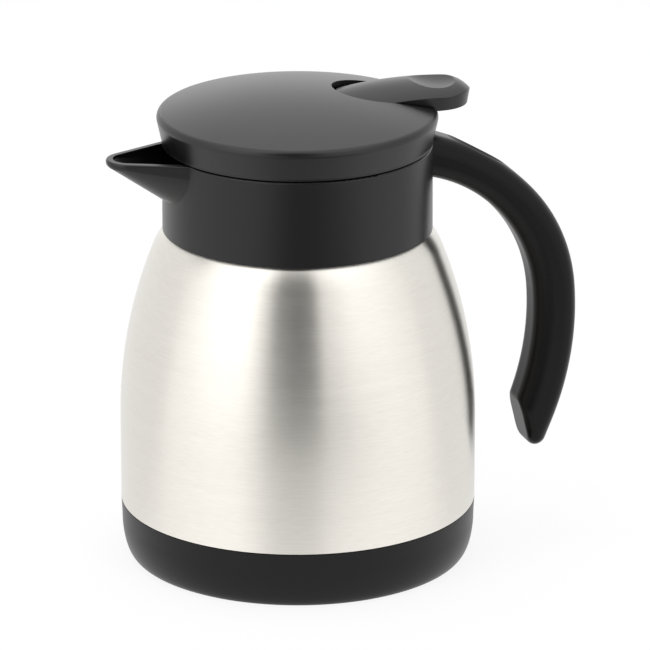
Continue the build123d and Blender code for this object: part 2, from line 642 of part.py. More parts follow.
# Stopper: one moulding from the valve's seat to the plate that closes the lid from below.
cover_r = lid_in_r - SEAM
with BuildPart() as stopper:
    with BuildSketch(Plane.XZ):
        Polygon(
            (plug_r, plug_z),
            (plug_r, flange_z),
            (bore_r - FLANGE_GAP, flange_z),
            (bore_r - FLANGE_GAP, flange_z + FLANGE_H),
            (core_r, flange_z + FLANGE_H),
            (core_r, cover_z),
            (cover_r, cover_z),
            (cover_r, cover_top_z),
            (guide_r, cover_top_z),
            (guide_r, guide_z),
            (plug_bore_r, guide_z),
            (plug_bore_r, seat_z),
            (PORT_R, seat_z),
            (PORT_R, plug_z),
            align=None,
        )
    revolve(axis=Axis.Z)
    window_mid_z = cup_floor_z + WINDOW_UP + WINDOW_H / 2
    for window in range(WINDOW_COUNT):
        window_angle = 360 / WINDOW_COUNT * window
        window_way = (cos(radians(window_angle)), sin(radians(window_angle)), 0)
        with BuildSketch(Plane(origin=(0, 0, window_mid_z), x_dir=(0, 0, 1), z_dir=window_way)):
            RectangleRounded(WINDOW_H, WINDOW_W, WINDOW_ROUND)
        extrude(amount=core_r, mode=Mode.SUBTRACT)
    for boss_angle in BOSS_ANGLES:
        with PolarLocations(boss_ring_r, 1, start_angle=boss_angle):
            with Locations((0, 0, cover_top_z)):
                Hole(SCREW_R + FIT, depth=PLATE_T)
save(stopper, "stopper")

# Stopper gasket: silicone ring that the flange presses on the steel lip.
with BuildPart() as stopper_gasket:
    with BuildSketch(Plane.XY.offset(seal_z)):
        Circle(bore_r - SEAM)
        Circle(plug_r + RUNNING_FIT, mode=Mode.SUBTRACT)
    extrude(amount=SEAL_T)
save(stopper_gasket, "stopper_gasket")

# Stem guide: disc with a long tube, pushed into the stopper from above.
stem_hole_r = STEM_R + RUNNING_FIT
guide_tube_z = cover_top_z - GUIDE_TUBE_H
with BuildPart() as stem_guide:
    with BuildSketch(Plane.XZ):
        Polygon(
            (stem_hole_r, guide_tube_z),
            (GUIDE_TUBE_R, guide_tube_z),
            (GUIDE_TUBE_R, guide_z),
            (guide_r, guide_z),
            (guide_r, guide_z + GUIDE_T),
            (GUIDE_TUBE_R + GUIDE_STEP, guide_z + GUIDE_T),
            (GUIDE_TUBE_R + GUIDE_STEP, cover_top_z),
            (GUIDE_SEAL_R, cover_top_z),
            (GUIDE_SEAL_R, guide_seal_z),
            (stem_hole_r, guide_seal_z),
            align=None,
        )
    revolve(axis=Axis.Z)
save(stem_guide, "stem_guide")

# Stem seal: square-section silicone ring in the guide's pocket.
with BuildPart() as stem_seal:
    with BuildSketch(Plane.XY.offset(guide_seal_z)):
        Circle(GUIDE_SEAL_R)
        Circle(stem_hole_r, mode=Mode.SUBTRACT)
    extrude(amount=STEM_SEAL_H)
save(stem_seal, "stem_seal")

# Valve stem: hub and spread cone below, head for the lever's fork and spigot for the spring above.
hub_z = seat_z + VALVE_SEAL_T
with BuildPart() as valve_stem:
    with BuildSketch(Plane.XZ):
        Polygon(
            (0, seat_z - VALVE_BUTTON_H),
            (VALVE_BUTTON_R, seat_z - VALVE_BUTTON_H),
            (VALVE_BUTTON_R, hub_z),
            (HUB_R, hub_z),
            (HUB_R, hub_z + HUB_T),
            (STEM_R, hub_z + HUB_T + HUB_CONE_H),
            (STEM_R, head_z),
            (STEM_HEAD_R, head_z),
            (STEM_HEAD_R, head_top_z),
            (STEM_SPIGOT_R, head_top_z),
            (STEM_SPIGOT_R, head_top_z + STEM_SPIGOT_H),
            (0, head_top_z + STEM_SPIGOT_H),
            align=None,
        )
    revolve(axis=Axis.Z)
save(valve_stem, "valve_stem")

# Valve seal: silicone disc under the hub, closed on the port's seat.
with BuildPart() as valve_seal:
    with BuildSketch(Plane.XY.offset(seat_z)):
        Circle(PORT_R + VALVE_SEAL_LAP)
        Circle(VALVE_BUTTON_R, mode=Mode.SUBTRACT)
    extrude(amount=VALVE_SEAL_T)
save(valve_seal, "valve_seal")

# Valve spring: presses the stem's head down from the lid's dome.
dome_in_z = lid_top_z - LID_T
spring_low = head_top_z + SPRING_WIRE_R
spring_high = dome_in_z - SPRING_WIRE_R
with BuildPart() as valve_spring:
    with BuildLine():
        coil = Helix(
            pitch=(spring_high - spring_low) / SPRING_TURNS,
            height=spring_high - spring_low,
            radius=SPRING_R,
            center=(0, 0, spring_low),
        )
    with BuildSketch(Plane(origin=coil @ 0, z_dir=coil % 0)):
        Circle(SPRING_WIRE_R)
    sweep(is_frenet=True)
save(valve_spring, "valve_spring")


def slot_outline(half, nose_x, end_x):
    """Slot and lever seen from above: straight sides and a round nose towards the spout."""
    Polyline((nose_x + half, half), (end_x, half), (end_x, -half), (nose_x + half, -half))
    ThreePointArc((nose_x + half, -half), (nose_x, 0), (nose_x + half, half))


# Lid hollow: the space under the dome, less the tray under the lever, the cheeks that hold
# its pin, the screw bosses and the spring's cup.
dome_in_r = LID_DOME_R - LID_T
dome_centre_z = lid_top_z - LID_DOME_R
edge_in_z = dome_centre_z + sqrt(dome_in_r**2 - lid_in_r**2)
with BuildPart() as lid_hollow:
    with BuildSketch(Plane.XZ):
        with BuildLine():
            ThreePointArc(
                (0, dome_in_z),
                (
                    lid_in_r / 2,
                    dome_centre_z + sqrt(dome_in_r**2 - (lid_in_r / 2) ** 2),
                ),
                (lid_in_r, edge_in_z),
            )
            Polyline(
                (lid_in_r, edge_in_z),
                (lid_in_r, lid_skirt_z),
                (0, lid_skirt_z),
                (0, dome_in_z),
            )
        make_face()
    revolve(axis=Axis.Z)
    # Tray and cheeks.
    with BuildSketch(Plane.XY.offset(tray_z - TRAY_T)):
        Polygon(
            (TRAY_X, -cheek_out),
            (lid_edge_r, -cheek_out),
            (lid_edge_r, cheek_out),
            (TRAY_X, cheek_out),
            align=None,
        )
    extrude(amount=lid_top_z - tray_z, mode=Mode.SUBTRACT)
    with BuildSketch(Plane.XY.offset(tray_z - TRAY_T)):
        for side in (-1, 1):
            with Locations((CHEEK_X, side * (slot_half + CHEEK_T / 2))):
                Rectangle(lid_edge_r, CHEEK_T, align=(Align.MIN, Align.CENTER))
    extrude(amount=lid_top_z - tray_z, mode=Mode.SUBTRACT)
    # Screw bosses stand on the stopper's plate.
    with BuildSketch(Plane.XY.offset(cover_top_z)):
        for boss_angle in BOSS_ANGLES:
            with PolarLocations(boss_ring_r, 1, start_angle=boss_angle):
                Circle(BOSS_R)
    extrude(amount=lid_top_z - cover_z, mode=Mode.SUBTRACT)
    # Spring's cup.
    with BuildSketch(Plane.XY.offset(dome_in_z - SPRING_CUP_H)):
        Circle(SPRING_CUP_R)
        Circle(SPRING_CUP_R - SPRING_CUP_T, mode=Mode.SUBTRACT)
    extrude(amount=SPRING_CUP_H, mode=Mode.SUBTRACT)

# Lid cover: shallow dome with a fine edge, an undercut below it and a straight skirt; a slot
# runs from near the middle to the rear edge for the lever.
edge_slope = asin((lid_edge_r - LID_EDGE_ROUND) / (LID_DOME_R - LID_EDGE_ROUND))
dome_end = (
    LID_DOME_R * sin(edge_slope),
    dome_centre_z + LID_DOME_R * cos(edge_slope),
)
dome_mid = (
    LID_DOME_R * sin(edge_slope / 2),
    dome_centre_z + LID_DOME_R * cos(edge_slope / 2),
)
edge_centre_r = lid_edge_r - LID_EDGE_ROUND
edge_centre_z = dome_end[1] - LID_EDGE_ROUND * cos(edge_slope)
undercut = atan2(LID_OVERHANG, edge_centre_z - lid_waist_z)
edge_mid = (radians(90) - edge_slope - undercut) / 2
edge_low = (
    edge_centre_r + LID_EDGE_ROUND * cos(undercut),
    edge_centre_z - LID_EDGE_ROUND * sin(undercut),
)
with BuildPart() as lid_cover:
    with BuildSketch(Plane.XZ):
        with BuildLine():
            ThreePointArc((0, lid_top_z), dome_mid, dome_end)
            ThreePointArc(
                dome_end,
                (
                    edge_centre_r + LID_EDGE_ROUND * cos(edge_mid),
                    edge_centre_z + LID_EDGE_ROUND * sin(edge_mid),
                ),
                edge_low,
            )
            Polyline(
                edge_low,
                (lid_skirt_r, lid_waist_z),
                (lid_skirt_r, lid_skirt_z),
                (0, lid_skirt_z),
                (0, lid_top_z),
            )
        make_face()
    revolve(axis=Axis.Z)
    add(lid_hollow.part, mode=Mode.SUBTRACT)
    with BuildSketch(Plane.XY.offset(tray_z)):
        with BuildLine():
            slot_outline(slot_half, SLOT_NOSE_X, CUT)
        make_face()
    extrude(amount=lid_top_z - tray_z, mode=Mode.SUBTRACT)
    with Locations(Location((PIN_X, 0, pin_z), (90, 0, 0))):
        Cylinder(PIN_R, pin_length, mode=Mode.SUBTRACT)
    for boss_angle in BOSS_ANGLES:
        with PolarLocations(boss_ring_r, 1, start_angle=boss_angle):
            with Locations((0, 0, cover_top_z)):
                Cylinder(
                    SCREW_R,
                    LID_SCREW_L,
                    align=(Align.CENTER, Align.CENTER, Align.MIN),
                    mode=Mode.SUBTRACT,
                )
save(lid_cover, "lid_cover")

# Lid screws: three self-tapping screws from under the stopper's plate into the lid's bosses.
with BuildPart() as lid_screws:
    for boss_angle in BOSS_ANGLES:
        with PolarLocations(boss_ring_r, 1, start_angle=boss_angle):
            with Locations((0, 0, cover_z)):
                Cylinder(SCREW_R, LID_SCREW_L, align=(Align.CENTER, Align.CENTER, Align.MIN))
                Cylinder(SCREW_HEAD_R, SCREW_HEAD_H, align=(Align.CENTER, Align.CENTER, Align.MAX))
save(lid_screws, "lid_screws")

# Lever: crowned thumb lever with a dished end, hollow underneath, and a forked arm that
# reaches under the dome to lift the valve's head.
lever_length = lever_end_x - lever_nose_x
lever_mid = (lever_end_x + lever_nose_x) / 2
crown_axis_z = crown_z - LEVER_CROWN_R
crown_reach = lever_length
core_half = LEVER_HALF - LEVER_TAPER - LEVER_WALL
core_end_x = lever_end_x - LEVER_TAPER - LEVER_WALL
fork_half = STEM_R + FORK_GAP
crown_start = (
    LEVER_CROWN_X - crown_reach,
    crown_z - LEVER_SWEEP_R + sqrt(LEVER_SWEEP_R**2 - crown_reach**2),
)
fall_x = lever_end_x - LEVER_END_RUN
fall_z = crown_z - LEVER_SWEEP_R + sqrt(LEVER_SWEEP_R**2 - (fall_x - LEVER_CROWN_X) ** 2)
fall_turn = 90 - degrees(asin((fall_x - LEVER_CROWN_X) / LEVER_SWEEP_R))
with BuildPart() as lever:
    with BuildSketch(Plane.XY.offset(lever_z)):
        with Locations((lever_mid, 0)):
            SlotOverall(lever_length - 2 * LEVER_TAPER, 2 * (LEVER_HALF - LEVER_TAPER))
    with BuildSketch(Plane.XY.offset(ridge_z)):
        with Locations((lever_mid, 0)):
            SlotOverall(lever_length, 2 * LEVER_HALF)
    loft(ruled=True)
    with BuildSketch(Plane.XY.offset(ridge_z)):
        with Locations((lever_mid, 0)):
            SlotOverall(lever_length, 2 * LEVER_HALF)
    extrude(amount=crown_z - ridge_z)
    # The crowned top is a barrel turned about an axis along the lever.
    with BuildSketch(Plane.XZ):
        with BuildLine():
            top = ThreePointArc(crown_start, (LEVER_CROWN_X, crown_z), (fall_x, fall_z))
            fall = JernArc(top @ 1, top % 1, LEVER_END_R, -fall_turn)
            Polyline(
                crown_start,
                (crown_start[0], crown_axis_z),
                ((fall @ 1).X, crown_axis_z),
                fall @ 1,
            )
        make_face()
    revolve(axis=Axis((0, 0, crown_axis_z), (1, 0, 0)), mode=Mode.INTERSECT)
    # Thumb dish: curved tightly along the lever and gently across it.
    dish_z = crown_z - DISH_DEPTH
    with BuildSketch(Plane.XZ):
        with Locations((dish_x, dish_z + DISH_LONG_R)):
            Circle(DISH_LONG_R)
    revolve(axis=Axis((0, 0, dish_z + DISH_CROSS_R), (1, 0, 0)), mode=Mode.SUBTRACT)
    # Hollow moulded into the underside of the thumb end.
    with BuildSketch(Plane.XY.offset(lever_z)):
        with Locations((core_end_x - CORE_LENGTH / 2, 0)):
            SlotOverall(CORE_LENGTH, 2 * core_half)
    extrude(amount=CORE_DEPTH, mode=Mode.SUBTRACT)
    # Arm with a fork round the valve stem.
    with BuildSketch(Plane.XZ):
        Polygon(
            (ARM_END_X, arm_z),
            (lever_nose_x, arm_z),
            (PIN_X, lever_z),
            (PIN_X, pin_z),
            (lever_nose_x + PIN_R, pin_z),
            (ARM_RISE_X, arm_top_z),
            (ARM_END_X, arm_top_z),
            align=None,
        )
    extrude(amount=ARM_HALF, both=True)
    with BuildSketch(Plane.XY.offset(arm_z)):
        with Locations((FORK_X - fork_half, 0)):
            Circle(fork_half)
        with Locations((FORK_X - fork_half, 0)):
            Rectangle(lever_nose_x, 2 * fork_half, align=(Align.MAX, Align.CENTER))
    extrude(amount=arm_top_z - arm_z, mode=Mode.SUBTRACT)
    with Locations(Location((PIN_X, 0, pin_z), (90, 0, 0))):
        Cylinder(PIN_R + RUNNING_FIT, CUT, mode=Mode.SUBTRACT)
save(lever, "lever")

# Lever pin: steel pin held in the lid's cheeks.
with BuildPart() as lever_pin:
    with Locations(Location((PIN_X, 0, pin_z), (90, 0, 0))):
        Cylinder(PIN_R, pin_length)
save(lever_pin, "lever_pin")
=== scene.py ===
from math import cos, degrees, radians, sin

import bmesh
import bpy
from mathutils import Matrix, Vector


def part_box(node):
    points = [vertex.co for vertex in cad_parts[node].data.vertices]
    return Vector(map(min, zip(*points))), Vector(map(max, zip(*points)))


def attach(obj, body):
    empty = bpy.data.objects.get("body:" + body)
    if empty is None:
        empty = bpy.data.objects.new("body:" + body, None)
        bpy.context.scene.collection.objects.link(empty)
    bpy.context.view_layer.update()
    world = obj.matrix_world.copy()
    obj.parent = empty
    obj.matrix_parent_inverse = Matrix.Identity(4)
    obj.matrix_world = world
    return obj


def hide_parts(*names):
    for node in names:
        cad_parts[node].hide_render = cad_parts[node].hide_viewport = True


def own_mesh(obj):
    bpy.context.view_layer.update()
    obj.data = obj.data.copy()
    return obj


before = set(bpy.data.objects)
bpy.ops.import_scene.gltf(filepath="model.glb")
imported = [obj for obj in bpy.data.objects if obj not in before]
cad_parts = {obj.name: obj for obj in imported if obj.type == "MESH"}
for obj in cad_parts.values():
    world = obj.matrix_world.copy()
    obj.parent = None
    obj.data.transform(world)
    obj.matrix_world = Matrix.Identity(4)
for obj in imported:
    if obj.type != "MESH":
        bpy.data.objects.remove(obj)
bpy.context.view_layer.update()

# --- Inner flask ---------------------------------------------------------------
# The liner that holds the drink: thin stainless sheet, drawn in at the neck, with a pressed
# bottom welded on. It is electropolished, so it is satin with a faint orange peel.

mm = 0.001
# Sockets of a Mix node that mixes colours, which share their names with other sockets.
MIX_LOW_COLOUR, MIX_HIGH_COLOUR, MIX_COLOUR_OUT = 6, 7, 2


class Wire:
    """An output socket of the finish being made; sums and products add Math nodes."""

    tree = None

    def __init__(self, socket):
        self.socket = socket

    @classmethod
    def node(cls, kind, settings=None, inputs=None, output=0):
        """Add a node, make its settings, then set or link its inputs."""
        node = cls.tree.nodes.new("ShaderNode" + kind)
        for name, value in (settings or {}).items():
            setattr(node, name, value)
        for name, value in (inputs or {}).items():
            cls.feed(node.inputs[name], value)
        return cls(node.outputs[output])

    @classmethod
    def feed(cls, socket, value):
        """Link a wire to a socket, or write a plain value there."""
        if isinstance(value, cls):
            cls.tree.links.new(value.socket, socket)
        else:
            socket.default_value = value

    def math(self, operation, *values):
        """Math node on this wire and any more values that the operation takes."""
        return Wire.node("Math", {"operation": operation}, dict(enumerate((self, *values))))

    def __add__(self, other):
        return self.math("ADD", other)

    def __mul__(self, other):
        return self.math("MULTIPLY", other)

    def __sub__(self, other):
        return self.math("SUBTRACT", other)

    def __rsub__(self, other):
        return Wire.node("Math", {"operation": "SUBTRACT"}, {0: other, 1: self})

    __radd__ = __add__
    __rmul__ = __mul__


def start_finish(name, constants):
    """Begin a finish: a Principled shader with the sockets that are the same all over."""
    material = bpy.data.materials.new(name)
    material.use_nodes = True
    Wire.tree = material.node_tree
    shader = Wire.tree.nodes["Principled BSDF"]
    for socket, value in constants.items():
        shader.inputs[socket].default_value = value
    return material, shader


def stretched_noise(scale, detail=2.0, roughness=0.5, stretch=(1.0, 1.0, 1.0)):
    """Noise from 0 to 1 in the object's own metres, with its own scale along each axis."""
    place = Wire.node("TexCoord", output="Object")
    place = Wire.node("VectorMath", {"operation": "MULTIPLY"}, {0: place, 1: stretch})
    inputs = {"Vector": place, "Scale": scale, "Detail": detail, "Roughness": roughness}
    return Wire.node("TexNoise", None, inputs)


def tint(shader, factor, low, high):
    """Base colour that goes from one colour to another with a wire."""
    colours = {MIX_LOW_COLOUR: (*low, 1.0), MIX_HIGH_COLOUR: (*high, 1.0)}
    colour = Wire.node("Mix", {"data_type": "RGBA"}, {"Factor": factor, **colours}, MIX_COLOUR_OUT)
    Wire.feed(shader.inputs["Base Color"], colour)


def roughen(shader, factor, low, high):
    """Roughness that goes from one value to another with a wire."""
    Wire.feed(shader.inputs["Roughness"], factor * (high - low) + low)


def emboss(shader, height, depth, strength=1.0):
    """Bump from a height wire, with its depth in metres."""
    bump = Wire.node("Bump", None, {"Strength": strength, "Distance": depth, "Height": height})
    Wire.feed(shader.inputs["Normal"], bump)


def dress(material, *names):
    """Give CAD nodes a finish through their material slots."""
    for name in names:
        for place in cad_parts[name].material_slots:
            place.link = "OBJECT"
            place.material = material


flask_finish, shader = start_finish("flask_satin_steel", {"Metallic": 1.0})
peel = stretched_noise(scale=420.0, detail=3.0)
drawn = stretched_noise(scale=60.0, stretch=(1.0, 1.0, 12.0))
tint(shader, drawn, low=(0.60, 0.585, 0.56), high=(0.70, 0.69, 0.67))
roughen(shader, peel, low=0.24, high=0.36)
emboss(shader, peel, depth=0.03 * mm, strength=0.4)
dress(flask_finish, "inner_flask", "flask_bottom")

# --- Outer shell ---------------------------------------------------------------
# The visible body: stainless sheet brushed while it turned on a lathe. Long fine scratches and
# short brush marks run round it, so light smears up and down it.

shell_finish, shader = start_finish(
    "brushed_steel", {"Metallic": 1.0, "Anisotropic": 0.9, "Anisotropic Rotation": 0.25}
)
SCRATCH_SHARE, MARK_SHARE, BAND_SHARE = 0.3, 0.5, 0.2
SCRATCH_DEPTH_SHARE, MARK_DEPTH_SHARE = 0.4, 0.6
scratches = stretched_noise(scale=1.0, detail=4.0, roughness=0.7, stretch=(25.0, 25.0, 5200.0))
bands = stretched_noise(scale=1.0, detail=2.0, stretch=(10.0, 10.0, 420.0))
marks = stretched_noise(scale=1.0, detail=2.0, roughness=0.6, stretch=(200.0, 200.0, 1900.0))
grain = scratches * SCRATCH_SHARE + marks * MARK_SHARE + bands * BAND_SHARE
relief = scratches * SCRATCH_DEPTH_SHARE + marks * MARK_DEPTH_SHARE
tint(shader, grain, low=(0.635, 0.61, 0.56), high=(0.845, 0.82, 0.765))
roughen(shader, grain, low=0.26, high=0.39)
emboss(shader, relief, depth=0.008 * mm, strength=0.4)
dress(shell_finish, "outer_shell")

# --- Getter --------------------------------------------------------------------
# A grey tablet of sintered metal powder, spot-welded in the vacuum gap, that soaks up the
# last of the air.

getter_finish, shader = start_finish("getter_metal", {"Metallic": 0.6})
grit = stretched_noise(scale=2600.0, detail=3.0)
tint(shader, grit, low=(0.16, 0.155, 0.15), high=(0.30, 0.29, 0.28))
roughen(shader, grit, low=0.55, high=0.8)
emboss(shader, grit, depth=0.05 * mm, strength=0.6)
dress(getter_finish, "getter")

# --- Shell bottom and vacuum cap -----------------------------------------------
# Pressed plate welded into the shell, and the disc brazed over its pump hole. Both are
# mill-finish sheet with faint rolling lines.

plate_finish, shader = start_finish("mill_steel", {"Metallic": 1.0})
rolling = stretched_noise(scale=1.0, detail=3.0, stretch=(30.0, 2400.0, 30.0))
tint(shader, rolling, low=(0.50, 0.49, 0.47), high=(0.62, 0.61, 0.59))
roughen(shader, rolling, low=0.32, high=0.5)
emboss(shader, rolling, depth=0.01 * mm, strength=0.3)
dress(plate_finish, "shell_bottom", "vacuum_cap")

# --- Base cup ------------------------------------------------------------------
# Injection-moulded polypropylene cup with a fine matt mould texture, pushed over the shell's
# lower edge.

MAIN_NOISE, OTHER_NOISE = 0.6, 0.4


def moulded_plastic(name, low, high, rough, shine=0.5):
    """Matt moulded plastic: a fine even mould texture under a slow change of tone."""
    material, shader = start_finish(name, {"IOR": 1.45, "Specular IOR Level": shine})
    cloud = stretched_noise(scale=35.0, detail=2.0)
    texture = stretched_noise(scale=3600.0, detail=2.0, roughness=0.6)
    tint(shader, cloud * MAIN_NOISE + texture * OTHER_NOISE, low, high)
    roughen(shader, texture * MAIN_NOISE + cloud * OTHER_NOISE, *rough)
    emboss(shader, texture, depth=0.02 * mm, strength=0.35)
    return material


def black_plastic(name, low, high, rough, shine):
    """Moulded plastic in a neutral black, from one grey level to another."""
    return moulded_plastic(name, (low, low, low), (high, high, high), rough, shine)


base_finish = black_plastic("base_plastic", low=0.003, high=0.005, rough=(0.30, 0.40), shine=0.25)
dress(base_finish, "base_cup")

# --- Neck gasket, stopper gasket, stem seal and valve seal ----------------------
# Food-grade silicone rings and washers, cut or moulded and squeezed between the hard parts,
# milky and slightly soft to the eye.

silicone, shader = start_finish(
    "silicone", {"IOR": 1.41, "Subsurface Weight": 0.25, "Subsurface Scale": 2 * mm}
)
bloom = stretched_noise(scale=180.0, detail=2.0)
tint(shader, bloom, low=(0.50, 0.49, 0.47), high=(0.60, 0.59, 0.57))
roughen(shader, bloom, low=0.42, high=0.55)
emboss(shader, bloom, depth=0.02 * mm, strength=0.3)
dress(silicone, "neck_gasket", "stopper_gasket", "stem_seal", "valve_seal")

# --- Pour ring and collar --------------------------------------------------------
# Black moulded plastic. The ring clips over the neck's bead and forms the pouring cup, with
# short thread ribs in its bore; the collar round it carries the spout and the handle.

collar_finish = black_plastic("collar_plastic", low=0.0035, high=0.006, rough=(0.26, 0.36), shine=0.42)
dress(collar_finish, "pour_ring", "collar")

BORE_R = 28.8 * mm
BORE_RIB_H = 0.3 * mm
BORE_RIB_TURN = 60.0
THREAD_STARTS = 3
THREAD_LEAD = 24.0 * mm
THREAD_LOW = 125.0 * mm
RIB_SWEEP = 66.0
RIB_FOOT = 1.1 * mm
RIB_TIP = 0.5 * mm
RIB_SUNK = 0.1 * mm
RIB_FADE = 0.18
RIB_STEPS = 22


def ring_point(r, turn, z):
    """Point at a radius, a turn in radians and a height about the carafe's axis."""
    return (r * cos(turn), r * sin(turn), z)


def swept_piece(name, sweeps, finish, smooth=False):
    """One piece of closed solids, each swept through a row of loops of points."""
    bm = bmesh.new()
    for sweep in sweeps:
        loops = [[bm.verts.new(point) for point in loop] for loop in sweep]
        for near, far in zip(loops, loops[1:]):
            for side in range(len(near)):
                after = (side + 1) % len(near)
                face = bm.faces.new((near[side], near[after], far[after], far[side]))
                face.smooth = smooth
        bm.faces.new(loops[0])
        bm.faces.new(loops[-1])
    bmesh.ops.recalc_face_normals(bm, faces=bm.faces)
    mesh = bpy.data.meshes.new(name)
    bm.to_mesh(mesh)
    bm.free()
    mesh.materials.append(finish)
    piece = bpy.data.objects.new(name, mesh)
    bpy.context.scene.collection.objects.link(piece)
    return piece


def thread_ribs(wall_r, crest_r, first_turn):
    """Loops for short ribs of a thread, sunk a little into their wall and faded at both ends."""
    sunk_r = wall_r - RIB_SUNK if crest_r > wall_r else wall_r + RIB_SUNK
    ribs = []
    for start in range(THREAD_STARTS):
        rib = []
        for step in range(RIB_STEPS + 1):
            share = step / RIB_STEPS
            turned = radians(360 / THREAD_STARTS * start + first_turn + RIB_SWEEP * share)
            z = THREAD_LOW + THREAD_LEAD * RIB_SWEEP / 360 * share
            fade = min(1.0, share / RIB_FADE, (1 - share) / RIB_FADE)
            tip_r = wall_r + (crest_r - wall_r) * fade
            outline = ((sunk_r, -RIB_FOOT), (tip_r, -RIB_TIP), (tip_r, RIB_TIP), (sunk_r, RIB_FOOT))
            rib.append([ring_point(r, turned, z + rise) for r, rise in outline])
        ribs.append(rib)
    return ribs


bore_ribs = thread_ribs(BORE_R, BORE_R - BORE_RIB_H, BORE_RIB_TURN)
bore_thread = swept_piece("bore_thread", bore_ribs, collar_finish)
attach(bore_thread, "pot")

# --- Handle and its screws --------------------------------------------------------
# A thick moulded hook with a satin face, held by two plated self-tapping screws from inside
# the collar. The lid's screws and the lever's pin are plated in the same way.

handle_finish = black_plastic("handle_plastic", low=0.002, high=0.004, rough=(0.24, 0.34), shine=0.18)
dress(handle_finish, "handle")

screw_finish, shader = start_finish("zinc_screw_steel", {"Metallic": 1.0})
plating = stretched_noise(scale=900.0, detail=3.0)
tint(shader, plating, low=(0.50, 0.50, 0.49), high=(0.66, 0.66, 0.65))
roughen(shader, plating, low=0.25, high=0.4)
emboss(shader, plating, depth=0.01 * mm, strength=0.3)
dress(screw_finish, "handle_screws", "lid_screws", "lever_pin")

# --- Stopper and stem guide --------------------------------------------------------
# Dark moulded polypropylene parts that carry the valve. The stopper's core has the ribs that
# match the ones in the bore.

stopper_finish = black_plastic("stopper_plastic", low=0.014, high=0.021, rough=(0.32, 0.42), shine=0.5)
dress(stopper_finish, "stopper", "stem_guide")

CORE_R = 27.0 * mm
CORE_RIB_H = 1.3 * mm
CORE_RIB_TURN = 0.0
core_ribs = thread_ribs(CORE_R, CORE_R + CORE_RIB_H, CORE_RIB_TURN)
stopper_thread = swept_piece("stopper_thread", core_ribs, stopper_finish)
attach(stopper_thread, "lid")

# --- Valve stem and spring ----------------------------------------------------------
# Acetal stem with a conical hub, and the stainless wire spring that keeps it shut and shortens when
# the lever lifts the stem. The coil is drawn again here as a piece of its own, between the heights of
# the CAD spring.

valve_finish = moulded_plastic(
    "valve_plastic", low=(0.62, 0.61, 0.58), high=(0.70, 0.69, 0.66), rough=(0.35, 0.45)
)
dress(valve_finish, "valve_stem")

spring_finish, shader = start_finish("spring_steel", {"Metallic": 1.0})
draw_lines = stretched_noise(scale=1500.0, detail=2.0)
tint(shader, draw_lines, low=(0.56, 0.55, 0.53), high=(0.68, 0.67, 0.65))
roughen(shader, draw_lines, low=0.2, high=0.32)
emboss(shader, draw_lines, depth=0.005 * mm, strength=0.3)
dress(spring_finish, "valve_spring")

SPRING_R = 3.5 * mm
SPRING_WIRE_R = 0.45 * mm
SPRING_TURNS = 3
STEPS_PER_TURN = 48
WIRE_SIDES = 14


def spring_coil_loops(low_z, high_z):
    """Loops for round wire wound into a coil on the lid's axis, between two heights."""
    steps = SPRING_TURNS * STEPS_PER_TURN
    coil = []
    for step in range(steps + 1):
        turned = radians(360 * step / STEPS_PER_TURN)
        z = low_z + SPRING_WIRE_R + (high_z - low_z - 2 * SPRING_WIRE_R) * step / steps
        loop = []
        for side in range(WIRE_SIDES):
            around = radians(360 * side / WIRE_SIDES)
            r = SPRING_R + SPRING_WIRE_R * cos(around)
            loop.append(ring_point(r, turned, z + SPRING_WIRE_R * sin(around)))
        coil.append(loop)
    return coil


spring_low, spring_high = (corner[2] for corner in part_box("valve_spring"))
coil = spring_coil_loops(spring_low, spring_high)
spring_coil = swept_piece("spring_coil", [coil], spring_finish, smooth=True)
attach(spring_coil, "lid")
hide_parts("valve_spring")
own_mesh(spring_coil)

# --- Lid cover ------------------------------------------------------------------------
# Shallow dome moulded in black plastic with a fine matt texture, screwed to the stopper's
# plate from below.

lid_finish = black_plastic("lid_plastic", low=0.0035, high=0.006, rough=(0.26, 0.36), shine=0.51)
dress(lid_finish, "lid_cover")

# --- Thumb lever ------------------------------------------------------------------------
# Crowned lever with a dish for the thumb, moulded in the same black plastic. It turns on its
# pin in the lid's slot.

lever_finish = black_plastic("lever_plastic", low=0.0035, high=0.006, rough=(0.26, 0.36), shine=0.46)
dress(lever_finish, "lever")

# --- Camera ---------------------------------------------------------------------------
# A long lens that looks down on the rim a little and is turned towards the spout. The pot's
# axis, half-way up, falls on the named pixel of a square frame.

FRAME_PX = 650
FOCAL_PX = 6230.0
AXIS_PX = (297.7, 331.0)
AXIS_HEIGHT = 77.4 * mm
CAMERA_DISTANCE = 2.1
SENSOR_WIDTH = 36.0
FAR_CLIP = 50.0
turn = radians(-18.0)
tip = radians(18.87)
right = Vector((cos(turn), sin(turn), 0.0))
ahead = Vector((-sin(turn) * cos(tip), cos(turn) * cos(tip), -sin(tip)))
up = right.cross(ahead)
metres_per_px = CAMERA_DISTANCE / FOCAL_PX
aim = Vector((0.0, 0.0, AXIS_HEIGHT))
aim += right * (FRAME_PX / 2 - AXIS_PX[0]) * metres_per_px
aim += up * (AXIS_PX[1] - FRAME_PX / 2) * metres_per_px
lens = bpy.data.cameras.new("camera")
lens.sensor_width = SENSOR_WIDTH
lens.lens = FOCAL_PX / FRAME_PX * SENSOR_WIDTH
lens.clip_end = FAR_CLIP
camera = bpy.data.objects.new("camera", lens)
camera.location = aim - ahead * CAMERA_DISTANCE
camera.rotation_euler = ahead.to_track_quat("-Z", "Y").to_euler()
bpy.context.scene.collection.objects.link(camera)
bpy.context.scene.camera = camera

# --- Studio -----------------------------------------------------------------------------
# A white floor, a pale surround and soft lamps. Shiny surfaces see bright panels at both sides
# and overhead, and the dark gap between the panels in front. Bearings are in degrees from the
# front, rises in degrees above level, and each edge fades over its own width.

